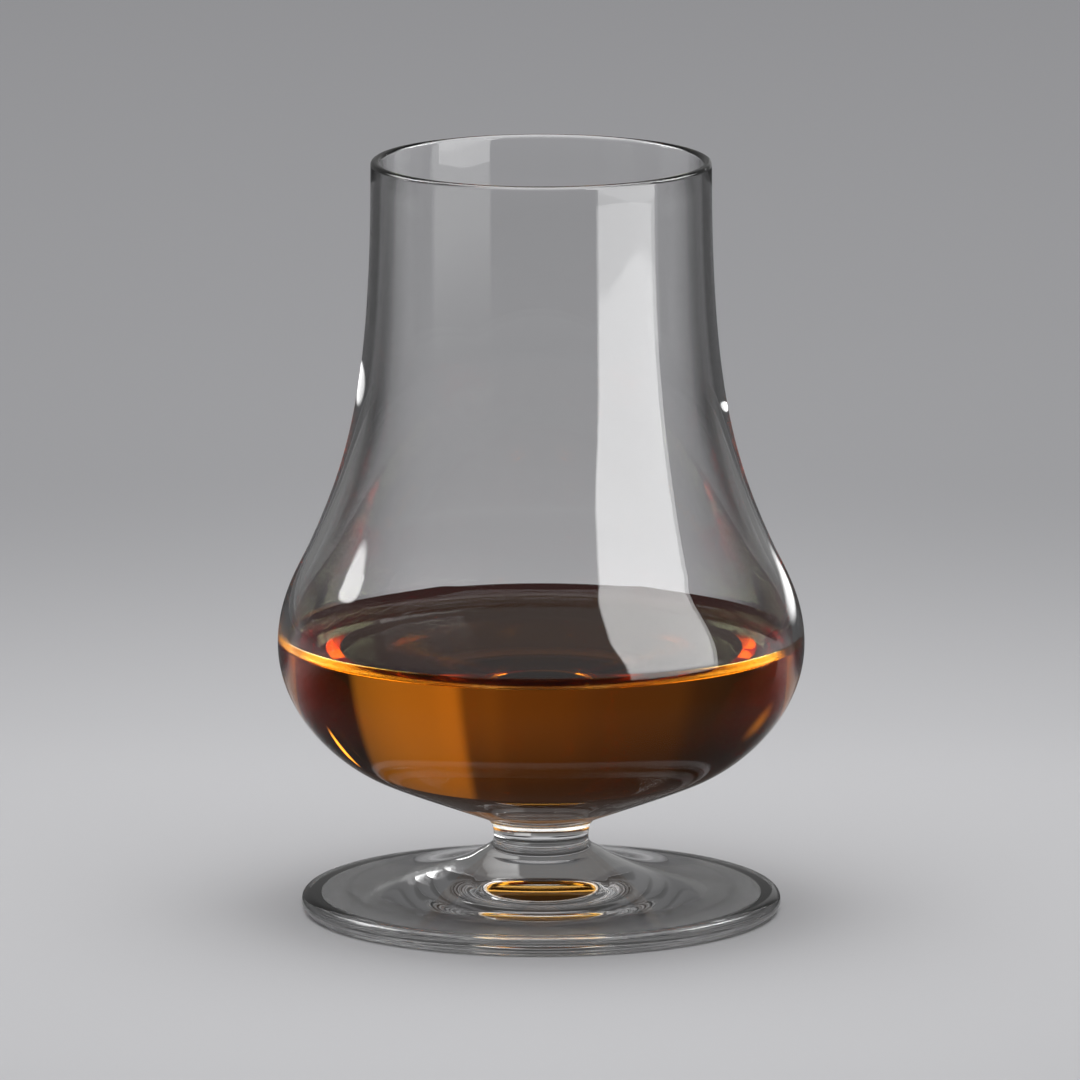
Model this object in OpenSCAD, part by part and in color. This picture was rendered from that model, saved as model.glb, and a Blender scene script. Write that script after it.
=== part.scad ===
// Whisky nosing glass with a dram in it.
// A blown tulip bowl is fused to a short solid stem, and the stem to a spun foot.
// Millimetres, +Z up. The origin is the centre of the ring that the foot stands on.

/* [Foot] */
// Diameter of the foot across its rounded edge
foot_d = 74.6; // [66:0.2:90]
// Thickness of the foot at its rounded edge
foot_edge_t = 3.2; // [2:0.1:4.5]
// Height of the foot at its centre, where the stem sits
foot_h = 9.4; // [8:0.1:14]
// Slope of the foot's top just inside the edge, in degrees
foot_edge_slope = 6; // [2:1:12]
// Slope of the foot's top where the stem sits, in degrees
foot_seat_slope = 33; // [24:1:45]
// Width of the flat ring that the foot stands on
foot_ring_w = 1.8; // [1:0.1:4]
// Depth of the hollow under the foot
foot_hollow_h = 1.8; // [0.6:0.1:3]
// Diameter of the level middle of that hollow
foot_hollow_flat_d = 16; // [6:0.5:30]

/* [Stem] */
// Diameter of the seat where the stem is fused to the foot
stem_foot_d = 19.2; // [17:0.1:24]
// Diameter of the stem's waist
stem_waist_d = 14.7; // [11:0.1:16]
// Height of the waist above the foot's seat
stem_waist_h = 2.2; // [1.6:0.1:3]
// Diameter of the seat where the bowl is fused to the stem
stem_bowl_d = 18; // [17:0.1:24]
// Height of the stem between its two seats
stem_h = 5.4; // [4.6:0.1:16]

/* [Bowl outline] */
// Height of the bowl from its seat to the top of the rim
bowl_h = 103.2; // [85:0.2:125]
// Outer diameter of the rim
rim_d = 52.8; // [44:0.2:62]
// Outer diameter of the shoulder, where the flare of the neck turns over
shoulder_d = 72.2; // [66:0.2:76]
// Height of the shoulder above the bowl's seat
shoulder_h = 42.6; // [38:0.2:52]
// Lean of the shoulder's side from upright, in degrees
shoulder_lean = 24.7; // [16:0.1:32]
// Outer diameter of the belly, the widest part of the glass
belly_d = 81.8; // [78:0.2:96]
// Height of the belly above the bowl's seat
belly_h = 27.4; // [22:0.2:32]
// Outer diameter at the hip, where the cone of the base bends up
hip_d = 55.6; // [48:0.2:62]
// Height of the hip above the bowl's seat
hip_h = 7.6; // [6.4:0.1:10]
// Slope of the bowl's underside at the hip, in degrees
hip_slope = 28.2; // [24:0.1:36]
// Slope of the bowl's underside at its seat, in degrees
base_slope = 22.2; // [16:0.1:28]

/* [Glass thickness] */
// Wall at the fire-polished rim
rim_wall = 1.4; // [0.8:0.1:2.4]
// Wall at the shoulder
shoulder_wall = 1.6; // [0.9:0.1:2.6]
// Wall at the belly
belly_wall = 1.7; // [1:0.1:2.8]
// Wall at the hip
hip_wall = 2.1; // [1.4:0.1:3]
// Glass between the bowl's seat and the whisky
base_t = 2.6; // [1.8:0.1:4.5]
// Diameter of the level middle of the bowl's floor
floor_flat_d = 5; // [2:0.5:10]

/* [Whisky] */
// Height of the whisky's level surface above the bowl's seat
fill_h = 27.2; // [14:0.2:60]
// Height that the whisky climbs up the wall of the glass
meniscus_h = 1; // [0.4:0.1:1.6]
// Width of the curve in which it climbs
meniscus_w = 2; // [1:0.1:4]

/* [Smoothness] */
// Straight steps in each curve of an outline
curve_steps = 8; // [4:1:16]
// Sides of one full turn
turn_sides = 60; // [24:4:120]

/* [Hidden] */

// Reach of a curve's two ends, as shares of the straight line between its points
foot_top_shares = [0.42, 0.24];
foot_hollow_shares = [0.4, 0.3];
stem_foot_shares = [0.3, 0.42];
stem_bowl_shares = [0.5, 0.31];
base_shares = [0.25, 0.21];
floor_shares = [0.42, 0.2];
hip_shares = [0.31, 0.377];
shoulder_shares = [0.44, 0.23];
neck_shares = [0.253, 0.5625];
meniscus_shares = [0.5, 0.42];
// Angle between the whisky's edge and upright glass, in degrees
meniscus_wetting = 25;

foot_edge_r = foot_edge_t / 2;
foot_ring_r = foot_d / 2 - foot_edge_r;
stem_waist_z = foot_h + stem_waist_h;
seat_z = foot_h + stem_h;
rim_r = rim_d / 2;
lip_r = rim_wall / 2;
lip_z = seat_z + bowl_h - lip_r;
floor_z = seat_z + base_t;
fill_z = seat_z + fill_h;
contact_z = fill_z + meniscus_h;

// Outline points are [radius, height]. Headings are in degrees from outward to upward.
function heading(a) = [cos(a), sin(a)];

// Smooth curve from point p to point q, leaving p on heading a and reaching q on
// heading b. It leaves out p itself, so curves join end to end.
function curve(p, a, q, b, shares) =
    let (
        span = norm(q - p),
        m = p + heading(a) * span * shares[0],
        n = q - heading(b) * span * shares[1]
    )
    [for (i = [1 : curve_steps])
        let (t = i / curve_steps, s = 1 - t)
        p * s * s * s + m * 3 * s * s * t + n * 3 * s * t * t + q * t * t * t];

// Points along an arc about centre c, from angle a to angle b, its two ends left out
function arc(c, r, a, b) =
    [for (i = [1 : curve_steps - 1]) c + heading(a + (b - a) * i / curve_steps) * r];

function reversed(list) = [for (i = [len(list) - 1 : -1 : 0]) list[i]];

// Main points of the bowl's outer face, each with the heading of the glass there
rim_p = [rim_r, lip_z];
shoulder_p = [shoulder_d / 2, seat_z + shoulder_h];
belly_p = [belly_d / 2, seat_z + belly_h];
hip_p = [hip_d / 2, seat_z + hip_h];
seat_p = [stem_bowl_d / 2, seat_z];
upright = 90;
shoulder_a = upright + shoulder_lean;

// A point moved into the bowl by the wall's thickness, square to its heading
function inside(p, a, wall) = p + heading(a + upright) * wall;

rim_in = inside(rim_p, upright, rim_wall);
shoulder_in = inside(shoulder_p, shoulder_a, shoulder_wall);
belly_in = inside(belly_p, upright, belly_wall);
hip_in = inside(hip_p, hip_slope, hip_wall);
floor_in = [floor_flat_d / 2, floor_z];

// Upward from the seat, the outer face is a low cone, the hip, the belly that
// closes into the shoulder, and the long flare of the neck
bowl_outer = concat(
    [seat_p],
    curve(seat_p, base_slope, hip_p, hip_slope, base_shares),
    curve(hip_p, hip_slope, belly_p, upright, hip_shares),
    curve(belly_p, upright, shoulder_p, shoulder_a, shoulder_shares),
    curve(shoulder_p, shoulder_a, rim_p, upright, neck_shares)
);

bowl_inner = concat(
    [floor_in],
    curve(floor_in, 0, hip_in, hip_slope, floor_shares),
    curve(hip_in, hip_slope, belly_in, upright, hip_shares),
    curve(belly_in, upright, shoulder_in, shoulder_a, shoulder_shares),
    curve(shoulder_in, shoulder_a, rim_in, upright, neck_shares)
);

// The lip is half a circle from the outer face over to the inner one
bowl_lip = arc([rim_r - lip_r, lip_z], lip_r, 0, 180);

// The wetted stretch of the inner face, cut where the whisky's edge touches it
wet_wall = [for (p = bowl_inner) if (p[1] < contact_z) p];
wet_last = wet_wall[len(wet_wall) - 1];
dry_next = bowl_inner[len(wet_wall)];
contact_share = (contact_z - wet_last[1]) / (dry_next[1] - wet_last[1]);
contact_p = wet_last + (dry_next - wet_last) * contact_share;
level_p = [contact_p[0] - meniscus_w, fill_z];

module turned(outline) {
    rotate_extrude($fn = turn_sides)
        polygon(outline);
}

// Spun disc: hollow beneath, so that it stands on a ring, with a round edge and
// a top that rises gently and then steeply to the stem
module foot() {
    hollow_p = [foot_hollow_flat_d / 2, foot_hollow_h];
    ring_p = [foot_ring_r - foot_ring_w, 0];
    edge_c = [foot_ring_r, foot_edge_r];
    edge_a = upright - foot_edge_slope;
    edge_p = edge_c + heading(edge_a) * foot_edge_r;
    top_p = [stem_foot_d / 2, foot_h];
    color([0.78, 0.82, 0.84, 0.6])
        turned(concat(
            [[0, foot_hollow_h], hollow_p],
            curve(hollow_p, 0, ring_p, -foot_edge_slope, foot_hollow_shares),
            [[foot_ring_r, 0]],
            arc(edge_c, foot_edge_r, -upright, edge_a),
            [edge_p],
            curve(edge_p, 180 - foot_edge_slope, top_p, 180 - foot_seat_slope, foot_top_shares),
            [[0, foot_h]]
        ));
}

// Solid spool: its flares run out into the foot's top and the bowl's underside
module stem() {
    foot_p = [stem_foot_d / 2, foot_h];
    waist_p = [stem_waist_d / 2, stem_waist_z];
    color([0.72, 0.77, 0.8, 0.6])
        turned(concat(
            [[0, foot_h], foot_p],
            curve(foot_p, 180 - foot_seat_slope, waist_p, upright, stem_foot_shares),
            curve(waist_p, upright, seat_p, base_slope, stem_bowl_shares),
            [[0, seat_z]]
        ));
}

// Blown bowl: thick at the base, thin at the belly and thinnest at the rounded rim
module bowl() {
    color([0.84, 0.88, 0.9, 0.4])
        turned(concat(
            [[0, seat_z]],
            bowl_outer,
            bowl_lip,
            reversed(bowl_inner),
            [[0, floor_z]]
        ));
}

// The dram fills the bowl to its belly and climbs the wall in a meniscus
module whisky() {
    color([0.55, 0.27, 0.05, 0.85])
        turned(concat(
            [[0, floor_z]],
            wet_wall,
            reversed(curve(level_p, 0, contact_p, upright - meniscus_wetting, meniscus_shares)),
            [level_p, [0, fill_z]]
        ));
}

foot();
stem();
bowl();
whisky();
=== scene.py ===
# %% [markdown]
# # A whisky nosing glass
# This lesson dresses a small piece of stemware. The real glass is blown and pressed in three parts,
# a bowl, a stem and a foot, that are fused while they are hot, and it holds a dram of whisky.
# The solids that carry it were drawn first, at real size, and come in here as a fixed frame.
# Each piece below is turned again with a finer outline, because glass shows every flat facet.

# %% Load the frame
import math

import bpy
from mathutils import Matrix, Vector


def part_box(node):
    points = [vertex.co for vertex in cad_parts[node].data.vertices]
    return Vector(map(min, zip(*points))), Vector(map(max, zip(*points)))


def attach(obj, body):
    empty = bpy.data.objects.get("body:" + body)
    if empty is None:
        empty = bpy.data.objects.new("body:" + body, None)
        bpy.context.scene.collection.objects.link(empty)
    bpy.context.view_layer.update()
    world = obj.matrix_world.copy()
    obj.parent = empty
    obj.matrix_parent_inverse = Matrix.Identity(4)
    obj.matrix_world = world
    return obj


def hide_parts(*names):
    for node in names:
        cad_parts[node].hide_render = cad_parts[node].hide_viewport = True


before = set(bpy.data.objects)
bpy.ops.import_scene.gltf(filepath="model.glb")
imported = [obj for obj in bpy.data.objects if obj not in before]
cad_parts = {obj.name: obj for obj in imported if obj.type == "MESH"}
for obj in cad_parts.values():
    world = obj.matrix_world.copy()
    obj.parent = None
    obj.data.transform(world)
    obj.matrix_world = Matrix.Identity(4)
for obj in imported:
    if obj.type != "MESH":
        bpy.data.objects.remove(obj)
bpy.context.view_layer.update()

scene = bpy.context.scene
print("frame nodes:", sorted(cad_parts))

# %% [markdown]
# ## Sizes
# Everything is in metres, in the frame's own place: the foot's ring stands on height zero and the
# glass's axis is Z. Heights and widths that the frame can give are read from its boxes. The rest are
# the glass's own dimensions, written once here in millimetres and turned into metres.

# %% Sizes
MM = 0.001
UPRIGHT = 90

foot_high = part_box("foot")[1]
stem_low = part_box("stem")[0]
bowl_low, bowl_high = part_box("bowl")
foot_r = foot_high.x
foot_top_z = stem_low.z
seat_z = bowl_low.z
rim_z = bowl_high.z
belly_r = bowl_high.x

foot_edge_t = 3.2 * MM
foot_edge_slope = 6
foot_seat_slope = 33
foot_ring_w = 1.8 * MM
foot_hollow_h = 1.8 * MM
foot_hollow_flat_r = 8 * MM

stem_foot_r = 9.6 * MM
stem_waist_r = 7.35 * MM
stem_waist_h = 2.2 * MM
stem_bowl_r = 9 * MM

rim_r = 26.4 * MM
shoulder_r = 36.1 * MM
shoulder_h = 42.6 * MM
shoulder_lean = 24.7
belly_h = 27.4 * MM
hip_r = 27.8 * MM
hip_h = 7.6 * MM
hip_slope = 28.2
base_slope = 22.2

rim_wall = 1.4 * MM
shoulder_wall = 1.6 * MM
belly_wall = 1.7 * MM
hip_wall = 2.1 * MM
base_t = 2.6 * MM
floor_flat_r = 2.5 * MM

fill_h = 27.2 * MM
meniscus_h = 2 * MM
meniscus_w = 2.4 * MM
meniscus_wetting = 25

print(f"belly {belly_r / MM:.2f} mm in radius, seat at {seat_z / MM:.2f} mm, rim at {rim_z / MM:.2f} mm")

# %% [markdown]
# ## Outlines
# A turned piece is known by half its outline, a line of points at a radius and a height. Glass runs
# in smooth curves while it is soft, so the outline is drawn as a few curves that meet without a
# corner. Each curve needs only its two ends, the way it leaves one and reaches the other, and how
# far it holds on to those two directions.

# %% Curves for outlines
CURVE_STEPS = 28


def heading(angle):
    """A step of length one at an angle, in degrees from outward to upward."""
    return Vector((math.cos(math.radians(angle)), math.sin(math.radians(angle))))


def curve(p, a, q, b, reach):
    """Points after p on a smooth curve that leaves p on heading a and reaches q on heading b."""
    span = (q - p).length
    m = p + heading(a) * span * reach[0]
    n = q - heading(b) * span * reach[1]
    points = []
    for i in range(1, CURVE_STEPS + 1):
        t = i / CURVE_STEPS
        s = 1 - t
        points.append(p * s**3 + m * (3 * s * s * t) + n * (3 * s * t * t) + q * t**3)
    return points


def arc(centre, r, a, b):
    """Points between two angles of an arc, without its ends."""
    return [centre + heading(a + (b - a) * i / CURVE_STEPS) * r for i in range(1, CURVE_STEPS)]


def inside(p, a, wall):
    """A point of the outer face moved into the bowl by the wall's thickness."""
    return p + heading(a + UPRIGHT) * wall


quarter = arc(Vector((0, 0)), 1, 0, UPRIGHT)
print("a quarter turn in", CURVE_STEPS, "steps starts with", [round(v.x, 3) for v in quarter[:3]])

# %% [markdown]
# ## Turning
# On a lathe, or on a spinning iron, the outline sweeps once round the axis. Blender's spin does the
# same: one vertex is drawn out along the outline, the line is spun, and the seam where the turn
# closes is merged. The faces are then told which side is out.

# %% A turned piece
TURN_STEPS = 256
SEAM = 0.0005 * MM
CREASE = math.radians(14)


def begin(name, at):
    """A new mesh object that is a single vertex, in edit mode."""
    bpy.ops.object.select_all(action="DESELECT")
    bpy.ops.mesh.primitive_plane_add(size=MM, location=(0, 0, 0))
    piece = bpy.context.object
    piece.name = name
    piece.data.name = name
    bpy.ops.object.mode_set(mode="EDIT")
    bpy.ops.mesh.select_all(action="SELECT")
    bpy.ops.mesh.merge(type="CENTER")
    bpy.ops.transform.translate(value=(at.x, 0, at.y))
    return piece


def turn(name, outline):
    """Spins an outline of (radius, height) points round the axis into a closed piece."""
    piece = begin(name, outline[0])
    for p, q in zip(outline, outline[1:]):
        step = (q.x - p.x, 0, q.y - p.y)
        bpy.ops.mesh.extrude_vertices_move(TRANSFORM_OT_translate={"value": step})
    bpy.ops.mesh.select_all(action="SELECT")
    bpy.ops.mesh.spin(steps=TURN_STEPS, angle=math.tau, center=(0, 0, 0), axis=(0, 0, 1))
    bpy.ops.mesh.select_all(action="SELECT")
    bpy.ops.mesh.remove_doubles(threshold=SEAM)
    bpy.ops.mesh.normals_make_consistent(inside=False)
    bpy.ops.object.mode_set(mode="OBJECT")
    bpy.ops.object.shade_smooth_by_angle(angle=CREASE)
    print(f"{name}: {len(outline)} outline points, {len(piece.data.polygons)} faces")
    return piece


# %% [markdown]
# ## The foot
# The foot is a gather of hot glass pressed and spun into a disc. It is thick at the stem and thin at
# its fire-rounded edge, and its hollow underside leaves a ring to stand on, so that it can't rock.

# %% Foot
axis_at = lambda z: Vector((0, z))
foot_edge_r = foot_edge_t / 2
foot_ring_r = foot_r - foot_edge_r
foot_edge_c = Vector((foot_ring_r, foot_edge_r))
foot_edge_top = foot_edge_c + heading(UPRIGHT - foot_edge_slope) * foot_edge_r
foot_seat_p = Vector((stem_foot_r, foot_top_z))
hollow_p = Vector((foot_hollow_flat_r, foot_hollow_h))
ring_in_p = Vector((foot_ring_r - foot_ring_w, 0))
ring_out_p = Vector((foot_ring_r, 0))

hollow_reach = (0.4, 0.3)
top_reach = (0.42, 0.24)

foot_outline = [
    axis_at(foot_hollow_h),
    hollow_p,
    *curve(hollow_p, 0, ring_in_p, -foot_edge_slope, hollow_reach),
    ring_out_p,
    *arc(foot_edge_c, foot_edge_r, -UPRIGHT, UPRIGHT - foot_edge_slope),
    foot_edge_top,
    *curve(foot_edge_top, 180 - foot_edge_slope, foot_seat_p, 180 - foot_seat_slope, top_reach),
    axis_at(foot_top_z),
]
foot = turn("foot_glass", foot_outline)

# %% [markdown]
# ## The stem
# The stem is a short solid spool. Its waist is narrow, and both ends flare until they run out into
# the foot and the bowl, which is how surface tension leaves a hot joint.

# %% Stem
waist_p = Vector((stem_waist_r, foot_top_z + stem_waist_h))
seat_p = Vector((stem_bowl_r, seat_z))
lower_reach = (0.3, 0.42)
upper_reach = (0.5, 0.31)

stem_outline = [
    axis_at(foot_top_z),
    foot_seat_p,
    *curve(foot_seat_p, 180 - foot_seat_slope, waist_p, UPRIGHT, lower_reach),
    *curve(waist_p, UPRIGHT, seat_p, base_slope, upper_reach),
    axis_at(seat_z),
]
stem = turn("stem_glass", stem_outline)

# %% [markdown]
# ## The bowl
# The bowl is blown into a mould. Its underside is a low cone that bends up at the hip, its belly is
# the widest part, and above the shoulder the neck draws in to hold the whisky's scent. The wall is
# thick at the base and thinnest at the lip, which a flame has melted round.

# %% Bowl
lip_r = rim_wall / 2
lip_c = Vector((rim_r - lip_r, rim_z - lip_r))
rim_p = Vector((rim_r, lip_c.y))
shoulder_p = Vector((shoulder_r, seat_z + shoulder_h))
belly_p = Vector((belly_r, seat_z + belly_h))
hip_p = Vector((hip_r, seat_z + hip_h))
shoulder_a = UPRIGHT + shoulder_lean
rim_in = inside(rim_p, UPRIGHT, rim_wall)
shoulder_in = inside(shoulder_p, shoulder_a, shoulder_wall)
belly_in = inside(belly_p, UPRIGHT, belly_wall)
hip_in = inside(hip_p, hip_slope, hip_wall)
floor_z = seat_z + base_t
floor_in = Vector((floor_flat_r, floor_z))
base_reach = (0.25, 0.21)
floor_reach = (0.42, 0.2)
belly_reach = (0.31, 0.377)
shoulder_reach = (0.44, 0.23)
neck_reach = (0.253, 0.5625)

bowl_outer = [
    seat_p,
    *curve(seat_p, base_slope, hip_p, hip_slope, base_reach),
    *curve(hip_p, hip_slope, belly_p, UPRIGHT, belly_reach),
    *curve(belly_p, UPRIGHT, shoulder_p, shoulder_a, shoulder_reach),
    *curve(shoulder_p, shoulder_a, rim_p, UPRIGHT, neck_reach),
]
bowl_inner = [
    floor_in,
    *curve(floor_in, 0, hip_in, hip_slope, floor_reach),
    *curve(hip_in, hip_slope, belly_in, UPRIGHT, belly_reach),
    *curve(belly_in, UPRIGHT, shoulder_in, shoulder_a, shoulder_reach),
    *curve(shoulder_in, shoulder_a, rim_in, UPRIGHT, neck_reach),
]
bowl_outline = [
    axis_at(seat_z),
    *bowl_outer,
    *arc(lip_c, lip_r, 0, 180),
    *reversed(bowl_inner),
    axis_at(floor_z),
]
bowl = turn("bowl_glass", bowl_outline)

# %% [markdown]
# ## The whisky
# The liquid touches the glass everywhere below its surface, and at the edge it climbs two
# millimetres up the wall. That small hollow curve is the gold ring round the dram, because it works
# as a lens. A renderer follows light from one surface to the next, and a gap of air would mirror it.
# So the whisky's skin is set a few hundredths of a millimetre into the wall: light then leaves the
# glass and enters the whisky with the bend that the two have in reality.

# %% Whisky
SKIN = 0.04 * MM
CLIMB_REACH = (0.5, 0.42)
fill_z = seat_z + fill_h
contact_z = fill_z + meniscus_h


def into_wall(points):
    """Each point of the wetted wall moved into the glass by the skin's depth."""
    moved = []
    for i, p in enumerate(points):
        along = points[min(i + 1, len(points) - 1)] - points[max(i - 1, 0)]
        out = Vector((along.y, -along.x)).normalized()
        moved.append(p + out * SKIN)
    return moved


wet_wall = [p for p in bowl_inner if p.y < contact_z]
dry_next = bowl_inner[len(wet_wall)]
contact_share = (contact_z - wet_wall[-1].y) / (dry_next.y - wet_wall[-1].y)
contact_p = wet_wall[-1].lerp(dry_next, contact_share)
level_p = Vector((contact_p.x - meniscus_w, fill_z))
wet_skin = into_wall([*wet_wall, contact_p])
climb = curve(level_p, 0, contact_p, UPRIGHT - meniscus_wetting, CLIMB_REACH)
whisky_outline = [
    axis_at(wet_skin[0].y),
    *wet_skin,
    *reversed(climb[:-1]),
    level_p,
    axis_at(fill_z),
]
whisky = turn("whisky_dram", whisky_outline)

# %% [markdown]
# ## Writing shader maths
# A material is a small sum over the surface. The class below wraps a socket, so that a sum written
# in Python adds the nodes that work it out.

# %% Shader maths
class Mix:
    """A socket of a node tree that can be added, multiplied and passed on."""

    def __init__(self, tree, socket=None):
        self.tree = tree
        self.socket = socket

    def node(self, kind, settings=None, values=None):
        """Adds a node, sets it up, and fills or links its sockets. Returns the node."""
        made = self.tree.nodes.new(kind)
        for key, value in (settings or {}).items():
            setattr(made, key, value)
        for key, value in (values or {}).items():
            if isinstance(value, Mix):
                self.tree.links.new(value.socket, made.inputs[key])
            else:
                made.inputs[key].default_value = value
        return made

    def take(self, node, output=0):
        return Mix(self.tree, node.outputs[output])

    def math(self, operation, first, second):
        return self.take(self.node("ShaderNodeMath", {"operation": operation}, {0: first, 1: second}))

    def least(self, other):
        return self.math("MINIMUM", self, other)

    def most(self, other):
        return self.math("MAXIMUM", self, other)

    def bearing(self, other):
        """The angle, in degrees, of a step of this much across and the other ahead."""
        return self.math("ARCTAN2", self, other) * math.degrees(1)

    def __abs__(self):
        return self.math("ABSOLUTE", self, 0.0)

    def __truediv__(self, other):
        return self.math("DIVIDE", self, other)

    def __add__(self, other):
        return self.math("ADD", self, other)

    def __mul__(self, other):
        return self.math("MULTIPLY", self, other)

    def __sub__(self, other):
        return self.math("SUBTRACT", self, other)

    def __rsub__(self, other):
        return self.math("SUBTRACT", other, self)

    __radd__ = __add__
    __rmul__ = __mul__


def new_material(name):
    """An empty node material and the wrapper that fills it."""
    material = bpy.data.materials.new(name)
    material.use_nodes = True
    material.node_tree.nodes.clear()
    return material, Mix(material.node_tree)


def close_material(maths, surface, volume=None):
    out = maths.node("ShaderNodeOutputMaterial")
    maths.tree.links.new(surface.outputs[0], out.inputs["Surface"])
    if volume is not None:
        maths.tree.links.new(volume.outputs[0], out.inputs["Volume"])


print("shader maths ready")

# %% [markdown]
# ## Clear glass
# Crystal glass has almost no colour. What gives it away is how it bends light, and how its blown
# surface is never quite true: the mirror images in it waver a little. A broad, very shallow bump
# does that, and it is a little stronger on the foot, which was shaped by hand with a tool.

# %% Glass material
GLASS_IOR = 1.52
GLASS_TINT = (0.992, 0.992, 0.99, 1)
WAVER_SIZE = 30 * MM


def glass_material(name, waver_height, edge_reflection=(1, 1, 1, 1)):
    """Clear glass whose surface wavers by a height, with a tint for its face-on reflection."""
    material, g = new_material(name)
    place = g.take(g.node("ShaderNodeTexCoord"), "Object")
    waver = g.take(g.node(
        "ShaderNodeTexNoise",
        values={"Vector": place, "Scale": 1 / WAVER_SIZE, "Detail": 1.0},
    ), "Fac")
    bump = g.node("ShaderNodeBump", values={"Height": waver - 0.5, "Distance": waver_height})
    shader = g.node("ShaderNodeBsdfPrincipled", values={
        "Base Color": GLASS_TINT,
        "Roughness": 0.0,
        "IOR": GLASS_IOR,
        "Specular Tint": edge_reflection,
        "Transmission Weight": 1.0,
        "Normal": g.take(bump, "Normal"),
    })
    close_material(g, shader)
    return material


blown_glass = glass_material("blown_glass", 0.02 * MM)
tooled_glass = glass_material("tooled_glass", 0.05 * MM)
print("glass bends light by", GLASS_IOR)

# %% [markdown]
# ## Where glass is fused or wet
# Where two hot pieces were joined the glass is one, and light passes as if nothing were there. Each
# piece stays a closed solid of its own, so the flat seat between two pieces gets a finish that
# shows nothing. Glass that the whisky wets hardly mirrors either, because the two bend light almost
# alike: there the face-on reflection is taken out, and what light does at a slant stays.

# %% Fused and wetted materials
NO_MIRROR = (0.05, 0.05, 0.05, 1)

fused, f = new_material("fused_seat")
close_material(f, f.node("ShaderNodeBsdfPrincipled", values={
    "Base Color": (1, 1, 1, 1),
    "Roughness": 0.0,
    "IOR": GLASS_IOR,
    "Alpha": 0.0,
}))
wetted_glass = glass_material("wetted_glass", 0.02 * MM, NO_MIRROR)
print("seats are fused, and the wetted wall is quiet")

# %% [markdown]
# ## Whisky
# Whisky is clear. Its amber comes from the cask, and it deepens with the length of liquid that the
# light has crossed, which is what an absorbing volume does: blue is lost first, then green.

# %% Whisky material
WHISKY_IOR = 1.36
WHISKY_DENSITY = 70.0
WHISKY_TINT = (0.93, 0.665, 0.03, 1)


def whisky_material(name, mirror=(1, 1, 1, 1)):
    """Clear liquid that absorbs light on the way, with a tint for its face-on reflection."""
    material, m = new_material(name)
    shader = m.node("ShaderNodeBsdfPrincipled", values={
        "Base Color": (1, 1, 1, 1),
        "Roughness": 0.0,
        "IOR": WHISKY_IOR,
        "Specular Tint": mirror,
        "Transmission Weight": 1.0,
    })
    inside_it = m.node("ShaderNodeVolumeAbsorption", values={
        "Color": WHISKY_TINT,
        "Density": WHISKY_DENSITY,
    })
    close_material(m, shader, inside_it)
    return material


open_whisky = whisky_material("amber_surface")
wetting_whisky = whisky_material("amber_against_glass", NO_MIRROR)
print("whisky density", WHISKY_DENSITY, "per metre")

# %% [markdown]
# ## Putting the finishes on
# The faces of a seat are found by their place: they are level, and lie in the plane of the joint.
# The wetted wall is the part of the bowl's inner face that lies below the whisky's edge, and on the
# whisky it is everything but the surface that is open to the air.

# %% Finish each piece
LEVEL = 0.9999
NEARLY_LEVEL = 0.99
MOSTLY_OUTWARD = 0.5


def outward(face):
    """How far a face looks away from the axis."""
    across = Vector((face.center.x, face.center.y, 0))
    return face.normal.dot(across.normalized()) if across.length > 0 else 0.0


def is_seat(face, heights):
    level = abs(face.normal.z) > LEVEL
    return level and any(abs(face.center.z - z) < SEAM for z in heights)


def is_wetted_wall(face):
    inner = outward(face) < 0 or face.normal.z > NEARLY_LEVEL
    return inner and face.center.z < contact_z


def is_open_surface(face):
    return face.normal.z > 0 and face.center.z > fill_z - SEAM and outward(face) < MOSTLY_OUTWARD


def finish(piece, materials, choose):
    """Gives each face the material whose number choose(face) returns."""
    for material in materials:
        piece.data.materials.append(material)
    counts = [0] * len(materials)
    for face in piece.data.polygons:
        face.material_index = choose(face)
        counts[face.material_index] += 1
    print(piece.name, {m.name: n for m, n in zip(materials, counts)})


finish(foot, [tooled_glass, fused], lambda face: int(is_seat(face, [foot_top_z])))
finish(stem, [blown_glass, fused], lambda face: int(is_seat(face, [foot_top_z, seat_z])))
finish(
    bowl,
    [blown_glass, fused, wetted_glass],
    lambda face: 1 if is_seat(face, [seat_z]) else 2 * int(is_wetted_wall(face)),
)
finish(whisky, [open_whisky, wetting_whisky], lambda face: int(not is_open_surface(face)))

# %% [markdown]
# ## Standing in for the frame
# Each piece takes the place of the solid that it was turned after, and rides on the glass's body.

# %% Ride and replace
for piece, node, slot in (
    (foot, "foot", "clear_glass"),
    (stem, "stem", "clear_glass"),
    (bowl, "bowl", "clear_glass"),
    (whisky, "whisky", "whisky"),
):
    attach(piece, "root")
    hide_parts(node)
    print(piece.name, "stands for", node)

# %% [markdown]
# ## The floor
# A pale, matt floor. Its colour is painted palest round the glass and a little deeper further off,
# a painted pool of light, as a studio's paper sweep looks when the light falls on its middle.

# %% Floor
FLOOR_SIDE = 24.0
FLOOR_LIT_NEAR = (0.6, 0.6, 0.61, 1)
FLOOR_DIMMER_FAR = (0.36, 0.36, 0.37, 1)
LIGHT_POOL_START = 0.06
LIGHT_POOL_END = 0.4

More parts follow.
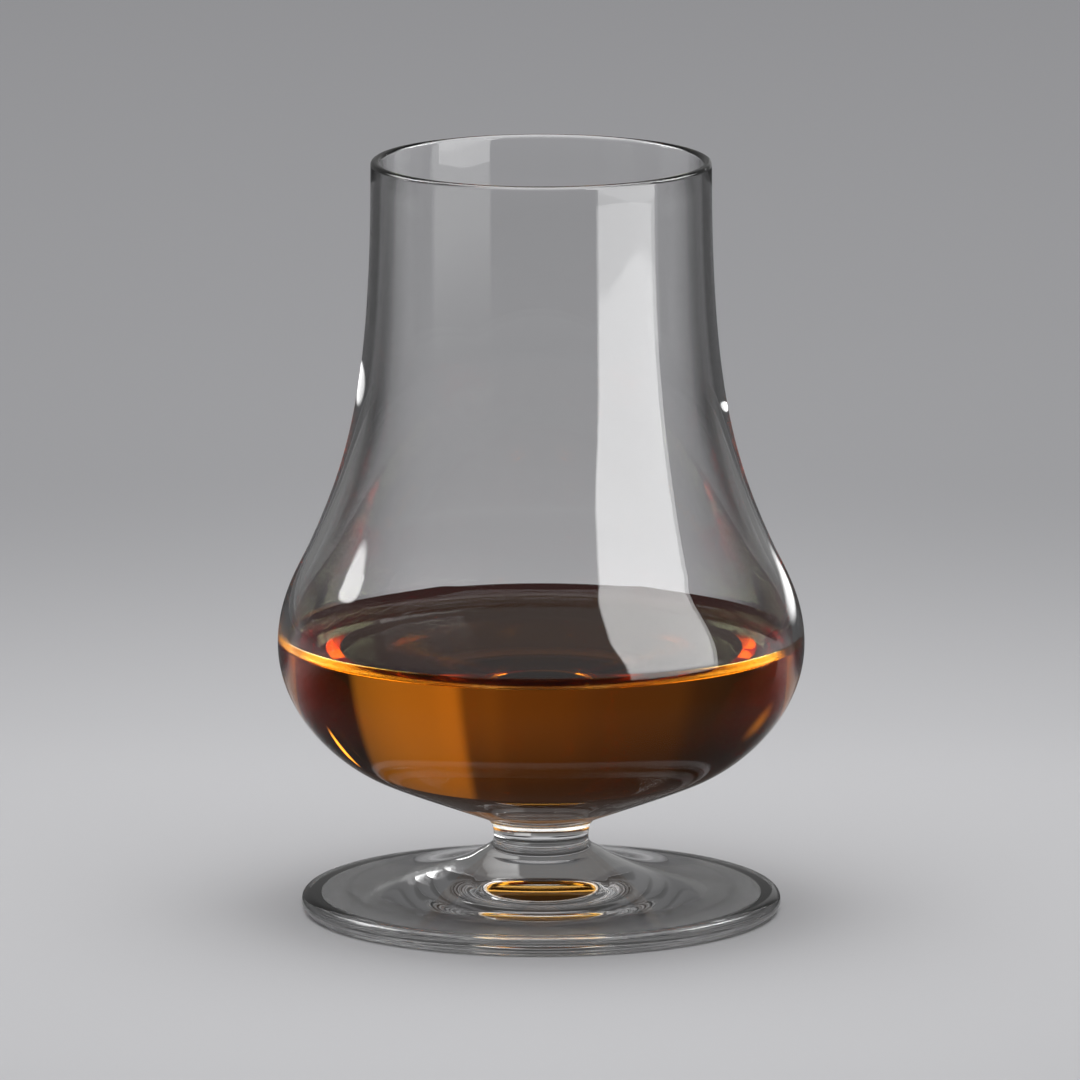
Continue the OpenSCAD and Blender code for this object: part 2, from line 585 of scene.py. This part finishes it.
bpy.ops.object.select_all(action="DESELECT")
bpy.ops.mesh.primitive_plane_add(size=FLOOR_SIDE, location=(0, 0, 0))
floor = bpy.context.object
floor.name = "floor"
paper, p = new_material("pale_paper")
away = p.take(p.node("ShaderNodeVectorMath", {"operation": "LENGTH"}, {
    0: p.take(p.node("ShaderNodeTexCoord"), "Object"),
}), "Value")
# Painted light: the floor's colour runs from a lit tone round the glass to a dimmer one further off.
light_pool_fade = p.take(p.node("ShaderNodeMapRange", {"interpolation_type": "SMOOTHSTEP"}, {
    "Value": away,
    "From Min": LIGHT_POOL_START,
    "From Max": LIGHT_POOL_END,
}))
paper_with_painted_light = p.take(p.node("ShaderNodeMix", {"data_type": "RGBA"}, {
    "Factor": light_pool_fade,
    6: FLOOR_LIT_NEAR,
    7: FLOOR_DIMMER_FAR,
}), 2)
close_material(p, p.node("ShaderNodeBsdfPrincipled", values={
    "Base Color": paper_with_painted_light,
    "Roughness": 0.9,
    "Specular IOR Level": 0.1,
}))
floor.data.materials.append(paper)
print("floor", FLOOR_SIDE, "m across")

# %% [markdown]
# ## Light
# What the glass shows depends on the way that the light has come. Blender counts, for each path of
# light, how often it was mirrored and how often it passed through a surface. Light that has passed
# the bowl's near and far wall has passed four surfaces, and more only if it also met the whisky.
# The helpers below read these counts, and turn a number into a soft step between two limits.

# %% Paths of light
BEYOND_WALLS = (4.2, 4.8)
SAME_WALL = (2.2, 2.8)


def step(maths, value, start, end, low=0.0, high=1.0):
    """A soft step of a value from low to high between start and end."""
    return maths.take(maths.node("ShaderNodeMapRange", {"interpolation_type": "SMOOTHSTEP"}, {
        "Value": value,
        "From Min": start,
        "From Max": end,
        "To Min": low,
        "To Max": high,
    }))


def count(maths, kind):
    """How often the path of light was "Glossy", "Transmission" or "Diffuse" before it came here."""
    return maths.take(maths.node("ShaderNodeLightPath"), kind + " Depth")


def through_dram(maths):
    """One for light that has been through the whisky."""
    return step(maths, count(maths, "Transmission"), *BEYOND_WALLS)


def beyond_near_wall(maths):
    """One for light that has passed more than two surfaces."""
    return step(maths, count(maths, "Transmission"), *SAME_WALL)


print("a path through the dram passes more than", BEYOND_WALLS[0], "surfaces")

# %% [markdown]
# ## The room
# The room is an even grey, and darker where the glass mirrors it, as a studio is behind its camera.
# Light that has run round inside the dram finds a warm glow on both sides of the room, which is what
# gilds the whisky's edge. Steeply from above, the glow reaches further to the rear. A gap in it, low
# and to the rear, keeps red light off the sides of the belly.

# %% Room
ROOM_GREY = (0.33, 0.33, 0.34, 1)
MIRRORED_ROOM = 0.4
SIDE_TONE = (0.9, 1.0, 0.6, 1)
SIDE_GLOW = 7.0
GLOW_FRONT = (78, 88)
GLOW_REAR = (138, 128)
GLOW_TOP = (0.68, 0.56)
STEEP = (0.38, 0.46)
STEEP_REACH = 20
GAP_FRONT = (104, 110)
GAP_LOW = (0.11, 0.14)
GAP_HIGH = (0.31, 0.28)

world = bpy.data.worlds.new("studio")
scene.world = world
world.use_nodes = True
world.node_tree.nodes.clear()
world.cycles.sampling_method = "NONE"
room = Mix(world.node_tree)
direction = room.node("ShaderNodeSeparateXYZ", values={
    0: room.take(room.node("ShaderNodeTexCoord"), "Generated"),
})
up = room.take(direction, "Z")
sideways = abs(room.take(direction, "X").bearing(-1 * room.take(direction, "Y")))
rear = step(room, sideways - STEEP_REACH * step(room, up, *STEEP), *GLOW_REAR)
beside = step(room, sideways, *GLOW_FRONT) * rear * step(room, up, *GLOW_TOP)
gap = step(room, sideways, *GAP_FRONT) * step(room, up, *GAP_LOW) * step(room, up, *GAP_HIGH)
mirrored = count(room, "Glossy").least(1.0)
scattered = count(room, "Diffuse").least(1.0)
glow_share = beside * (1 - gap) * mirrored * through_dram(room) * (1 - scattered)
level = 1 - (1 - MIRRORED_ROOM) * mirrored
tone = room.take(room.node("ShaderNodeMix", {"data_type": "RGBA"}, {
    "Factor": glow_share,
    6: ROOM_GREY,
    7: SIDE_TONE,
}), 2)
sky = room.node("ShaderNodeBackground", values={"Color": tone, "Strength": level + SIDE_GLOW * glow_share})
sky_out = room.node("ShaderNodeOutputWorld")
world.node_tree.links.new(sky.outputs[0], sky_out.inputs["Surface"])
print("grey room, level", MIRRORED_ROOM, "in mirror images")

# %% [markdown]
# ## The lamp
# One broad lamp hangs over the glass, out of the picture. It lights the floor evenly and lays a
# soft shadow round the foot.

# %% Lamp
LAMP_SIDE = 2.2
LAMP_HEIGHT = 1.5
LAMP_WATTS = 24.0

bpy.ops.object.select_all(action="DESELECT")
bpy.ops.object.light_add(type="AREA", location=(0, 0, LAMP_HEIGHT))
lamp = bpy.context.object
lamp.name = "overhead"
lamp.data.shape = "SQUARE"
lamp.data.size = LAMP_SIDE
lamp.data.energy = LAMP_WATTS
lamp.visible_camera = False
print("overhead lamp", lamp.data.energy, "W")

# %% [markdown]
# ## Cards
# Glass shows what stands round it, so cards are set about it, as a photographer does. They show only
# in the glass, never to the eye or on the floor. Azimuth 0 is towards the camera, and 90 to its right.

# %% A card
def around(azimuth, distance, height):
    """A place round the glass: azimuth 0 is towards the camera, 90 to its right."""
    turn_by = math.radians(azimuth)
    return (distance * math.sin(turn_by), -distance * math.cos(turn_by), height)


def only_in_glass(made, material):
    """Gives a card its material, and hides it from the eye and from the floor."""
    made.data.materials.append(material)
    made.visible_camera = False
    made.visible_diffuse = False
    made.visible_shadow = False


def card(name, span, distance, low, high, material, lean=0):
    """An upright card across a span of azimuths, turned in its own plane by a lean."""
    middle = sum(span) / 2
    width = 2 * distance * math.tan(math.radians((span[1] - span[0]) / 2))
    bpy.ops.object.select_all(action="DESELECT")
    bpy.ops.mesh.primitive_plane_add(size=1)
    made = bpy.context.object
    made.name = name
    made.location = around(middle, distance, (low + high) / 2)
    made.rotation_euler = (math.radians(UPRIGHT), 0, math.radians(middle))
    made.rotation_euler.rotate_axis("Z", math.radians(lean))
    made.scale = (width, high - low, 1)
    only_in_glass(made, material)
    print(name, f"{width:.2f} m wide at azimuth {middle:.0f}")
    return made


def mat_on_floor(name, side, lift, material):
    """A card that lies on the floor."""
    bpy.ops.object.select_all(action="DESELECT")
    bpy.ops.mesh.primitive_plane_add(size=side, location=(0, 0, lift))
    made = bpy.context.object
    made.name = name
    only_in_glass(made, material)
    print(name, side, "m wide on the floor")
    return made


print("cards hang at an azimuth, a distance and a height")

# %% [markdown]
# ## What a card shows
# A card's light has a strength, and the card is clear where its amount is nought. It can be kept to
# some of the glass's images, because a bright card near the glass would otherwise put spots where
# none belong: to the mirror images of the outer face, to those in the far wall, or to
# what the whisky's lens shows.

# %% A card's light
def place_on_card(maths):
    """Where a point lies on a card, across and up from its middle."""
    place = maths.take(maths.node("ShaderNodeTexCoord"), "Object")
    spot = maths.node("ShaderNodeSeparateXYZ", values={0: place})
    return maths.take(spot, "X"), maths.take(spot, "Y")


def from_middle(maths):
    """How far a point lies from the middle of a card."""
    place = maths.take(maths.node("ShaderNodeTexCoord"), "Object")
    return maths.take(maths.node("ShaderNodeVectorMath", {"operation": "LENGTH"}, {0: place}), "Value")


def close_card(maths, strength, amount=1.0, seen="mirrored"):
    """Ends a card's material: light of a strength, clear where the amount is nought.

    It is seen in every path ("all"), in mirror images ("mirrored"), in those of the outer
    face ("outside"), in those of the far wall ("within"), or through the whisky ("through").
    """
    mirrored = count(maths, "Glossy").least(1.0)
    entered = count(maths, "Transmission").least(1.0)
    share = {
        "all": 1.0,
        "mirrored": mirrored,
        "outside": mirrored * (1 - entered),
        "within": mirrored * entered,
        "through": through_dram(maths),
    }[seen]
    light = maths.node("ShaderNodeEmission", values={"Strength": strength})
    blend = maths.node("ShaderNodeMixShader", values={0: share * amount})
    maths.tree.links.new(maths.node("ShaderNodeBsdfTransparent").outputs[0], blend.inputs[1])
    maths.tree.links.new(light.outputs[0], blend.inputs[2])
    close_material(maths, blend)


print("a card's light can be kept to some of the glass's images")

# %% [markdown]
# ## The window
# The long bright strip down the neck is the mirror image of a tall window on the right. The part of
# it below the sill is dimmer, and the sill's line is the soft S near the top of the strip. The
# window is left out of the whisky's own mirror, which would hide the amber when seen from behind.

# %% Window card
WINDOW_GLOW = 4.7
SILL_GLOW = 3.5
WINDOW_LEAN = 0.14
SIDE_EDGE = -0.5
LEAN_TOP = 0.02
SILL_SPAN = (-0.4, 0.4)
SILL_ENDS = (-0.4304, -0.4616)
SILL_SOFT = 0.003
EDGE_SOFT = 0.01

window, v = new_material("window_light")
across, up = place_on_card(v)
sill = step(v, across, *SILL_SPAN, *SILL_ENDS)
near_edge = step(v, up, SIDE_EDGE, LEAN_TOP, SIDE_EDGE + WINDOW_LEAN, SIDE_EDGE)
pane = step(v, across - near_edge, 0.0, EDGE_SOFT)
across_bowl = beyond_near_wall(v) * (1 - through_dram(v))
pane_light = step(v, up - sill, -SILL_SOFT, SILL_SOFT, SILL_GLOW, WINDOW_GLOW)
close_card(v, pane_light, pane * (1 - across_bowl))
card("window_right", (31.5, 81), 0.62, 0.0, 0.7, window)

# %% [markdown]
# ## A flag for the foot
# From behind, the level top of the foot mirrors the window and nearly burns out to white. A small
# dark flag, just outside the foot and below the belly, keeps the window off its middle.

# %% Flag
FLAG_TONE = 0.06

flag, n = new_material("flag_cloth")
close_card(n, FLAG_TONE, seen="outside")
card("flag_right", (12, 101), 0.06, 0.001, 0.036, flag)

# %% [markdown]
# ## What the dram shows
# The whisky fills a round bowl and works as a strong lens: its left half shows what stands behind
# on the right, and the other way round. One long card behind carries the tones in turn, from dark
# at the ends to a bright panel that gives the amber patch. The tones fall off upwards, the panel less.
# They are a little dimmer in the mirror of the whisky's top, and the foot's edge, which is only one
# piece of glass thick, shows an even grey in their place.

# %% Card behind
BEHIND = 0.56
BEHIND_HALF = 52
BEHIND_LOW = 0.03
BEHIND_HIGH = 0.42
SEEN_IN_TOP = 0.72
SEEN_IN_FOOT = 0.17
BACK_FADE = (-0.4, 0.0, 1.0, 0.3)
PANEL_FADE = (-0.3, 0.2, 1.0, 0.7)
BACK_TONES = (
    (52, 0.02), (30, 0.02), (12, 0.05), (9, 0.2), (5, 0.25), (3.5, 0.19), (-2, 0.17), (-6, 0.13),
    (-10, 0.12), (-16, 0.11), (-19, 0.06), (-30, 0.03), (-34, 0.04), (-52, 0.03),
)
PANEL_TONES = (
    (52, 0.0), (26.5, 0.0), (24.5, 0.36), (21, 0.46), (17, 0.53), (11, 0.54), (9.2, 0.47), (7.9, 0.0),
    (-52, 0.0),
)


def along(angle):
    """Where an angle to the right of straight behind falls on the card, from 0 to 1."""
    return 0.5 - math.tan(math.radians(angle)) / (2 * math.tan(math.radians(BEHIND_HALF)))


def tone_ramp(maths, place, tones):
    """A ramp over the card's width through the given tones."""
    made = maths.node("ShaderNodeValToRGB", values={0: place})
    ramp = made.color_ramp
    while len(ramp.elements) < len(tones):
        ramp.elements.new(1.0)
    for stop, (angle, tone) in zip(ramp.elements, tones):
        stop.position = along(angle)
        stop.color = (tone, tone, tone, 1)
    return maths.take(made)


behind, h = new_material("tones_behind")
across, height = place_on_card(h)
back_light = tone_ramp(h, across + 0.5, BACK_TONES) * step(h, height, *BACK_FADE)
panel_light = tone_ramp(h, across + 0.5, PANEL_TONES) * step(h, height, *PANEL_FADE)
mirrored = count(h, "Glossy").least(1.0)
edge_light = SEEN_IN_FOOT * (1 - beyond_near_wall(h))
tones = (back_light + panel_light) * (1 - (1 - SEEN_IN_TOP) * mirrored)
close_card(h, tones.most(edge_light), seen="all")
card("tones_behind", (180 - BEHIND_HALF, 180 + BEHIND_HALF), BEHIND, BEHIND_LOW, BEHIND_HIGH, behind)

# %% [markdown]
# ## Sparks
# Small bright cards put the sparks on the glass: a flame on the left shoulder, a glint at each side
# of the neck and on the right shoulder, and light on the foot's rounded edge from two cards high up.
# The last two lie behind, and only the whisky's lens brings them into view. A round mirror squeezes
# what it shows, so the small cards stand close to the glass and lean to come out upright.

# %% Small cards
ROUND_EDGE = 0.5


def glow(name, strength, seen, core=0.36):
    """A card's round light, full within its core and fading to nought at its edge."""
    material, m = new_material(name)
    close_card(m, strength, step(m, from_middle(m), ROUND_EDGE, core), seen)
    return material


card("flame_left", (-109.3, -94.1), 0.25, 0.131, 0.162, glow("flame_light", 8.5, "outside"), lean=24)
card("glint_left", (204.6, 239.6), 0.06, 0.0738, 0.08, glow("glint_left_light", 2.2, "outside"), lean=6)
card("glint_neck", (120, 147.6), 0.06, 0.0735, 0.0751, glow("glint_neck_light", 2.8, "outside"), lean=-12)
glint_right_light = glow("glint_right_light", 3.5, "outside", core=0.2)
card("glint_right", (103, 131), 0.06, 0.0447, 0.0569, glint_right_light, lean=16)
for side, span, lean in (("left", (-143, -79), 44), ("right", (79, 143), -44)):
    high_light = glow(f"high_light_{side}", 11.0, "outside", core=0.1)
    card(f"high_{side}", span, 0.5, 0.32, 0.62, high_light, lean)
card("sliver_behind", (146.2, 147.8), 0.54, 0.15, 0.25, glow("sliver_light", 5.0, "all", 0.2), lean=-40)
card("ember_behind", (211, 224), 0.54, 0.14, 0.18, glow("ember_light", 0.45, "all", 0.0), lean=-19)

# %% [markdown]
# ## The dark lines
# The dark lines along the neck's edges come from dark cloth on the floor to both sides behind: the
# wall of a tube bends the view outwards there. The cloth leaves the middle free, and lies in a
# wedge, so that from another side the neck looks clear too.

# %% Dark cloth
CLOTH_TONE = 0.03
CLOTH_IN_MIRROR = 0.8
INNER_SLANT = (0.079, 0.25)
OUTER_SLANT = (1.05, 0.8)
CLOTH_FRONT = (0.1, 0.16)

cloth, c = new_material("dark_cloth")
across, ahead = place_on_card(c)
slant = abs(across) / ahead.most(MM)
cover = step(c, slant, *INNER_SLANT) * step(c, slant, *OUTER_SLANT) * step(c, ahead, *CLOTH_FRONT)
mirrored = count(c, "Glossy").least(1.0)
close_card(c, CLOTH_TONE, cover * (1 - (1 - CLOTH_IN_MIRROR) * mirrored), seen="all")
mat_on_floor("dark_cloth", 1.7, 0.8 * MM, cloth)

# %% [markdown]
# ## The dark front
# The belly's underside mirrors the floor in front. A second dark cloth, out of the picture, keeps
# that pale image off the dram, and leaves it in the foot.

# %% Mirror cloth
FRONT_TONE = 0.05
FOOT_INNER = (0.031, 0.029)
FOOT_OUTER = (0.04, 0.042)
NEAR_FOOT = (0.12, 0.06)
FRONT_LIMIT = (0.12, 0.02)

front, q = new_material("front_cloth")
ahead = place_on_card(q)[1]
reach = from_middle(q)
entered = count(q, "Transmission").least(1.0)
under_foot = step(q, reach, *FOOT_INNER)
round_foot = step(q, reach, *FOOT_OUTER) * (1 - entered * step(q, reach, *NEAR_FOOT))
close_card(q, FRONT_TONE, step(q, ahead, *FRONT_LIMIT) * (under_foot + round_foot))
mat_on_floor("front_cloth", 3.0, 0.5 * MM, front)

# %% [markdown]
# ## The faint strip
# The far wall of the neck shows a second, fainter strip. It is the window's light lying on the
# floor at the right, and a bright mat stands for it.

# %% Sheen
SHEEN_TONE = 1.2
SHEEN_FROM = (37, 39)
SHEEN_TO = (88, 86)
SHEEN_RISE = (0.1, 0.5)

bright, b = new_material("sheen_cloth")
across, ahead = place_on_card(b)
bearing = across.bearing(-1 * ahead)
sheen = step(b, bearing, *SHEEN_FROM) * step(b, bearing, *SHEEN_TO)
rise = step(b, from_middle(b), *SHEEN_RISE)
close_card(b, SHEEN_TONE, sheen * rise, "within")
mat_on_floor("sheen_cloth", 3.0, 0.6 * MM, bright)

# %% [markdown]
# ## Painted shadow under the dram
# Seen through the whisky the floor is dark, since hardly any light gets under the glass. A dark mat
# that only the whisky's lens shows paints that shadow in, and gives the dram its depth.

# %% Painted shadow under the dram
DRAM_SHADOW_TONE = 0.035
UNDER_EDGE = (0.041, 0.05)

under, u = new_material("painted_shadow_under_dram")
# Painted shadow: this dark mat shows only through the whisky, where the floor lies in the glass's shade.
close_card(u, DRAM_SHADOW_TONE, step(u, from_middle(u), *UNDER_EDGE), "through")
mat_on_floor("painted_shadow_under_dram", 1.0, 0.4 * MM, under)

# %% [markdown]
# ## Camera
# The photograph was taken with a long lens from a little above the glass. Its place was worked out
# from the ellipses of the rim, the whisky and the foot.

# %% Camera
CAMERA_AWAY = 2.4845
CAMERA_UP = 0.5143
CAMERA_DIP = math.degrees(0.1815)
IMAGE_SIDE = 1080
FOCAL_PIXELS = 16287
SENSOR = 36.0
AXIS_PIXEL = 541.2

bpy.ops.object.select_all(action="DESELECT")
bpy.ops.object.camera_add(location=(0, -CAMERA_AWAY, CAMERA_UP))
camera = bpy.context.object
camera.name = "camera"
camera.rotation_euler = (math.radians(UPRIGHT - CAMERA_DIP), 0, 0)
camera.data.sensor_width = SENSOR
camera.data.lens = SENSOR * FOCAL_PIXELS / IMAGE_SIDE
camera.data.shift_x = -(AXIS_PIXEL - IMAGE_SIDE / 2) / IMAGE_SIDE
camera.data.clip_end = 100
scene.camera = camera
print(f"lens {camera.data.lens:.0f} mm, {CAMERA_AWAY} m away")

# %% [markdown]
# ## Finish
# Light runs round inside a filled glass many times before it comes out, above all at the whisky's
# edge, so it is followed for many bounces.

# %% Finish
BOUNCES = 64

scene.view_settings.view_transform = "Standard"
scene.cycles.max_bounces = BOUNCES
scene.cycles.transmission_bounces = BOUNCES
scene.cycles.glossy_bounces = BOUNCES
scene.cycles.transparent_max_bounces = BOUNCES
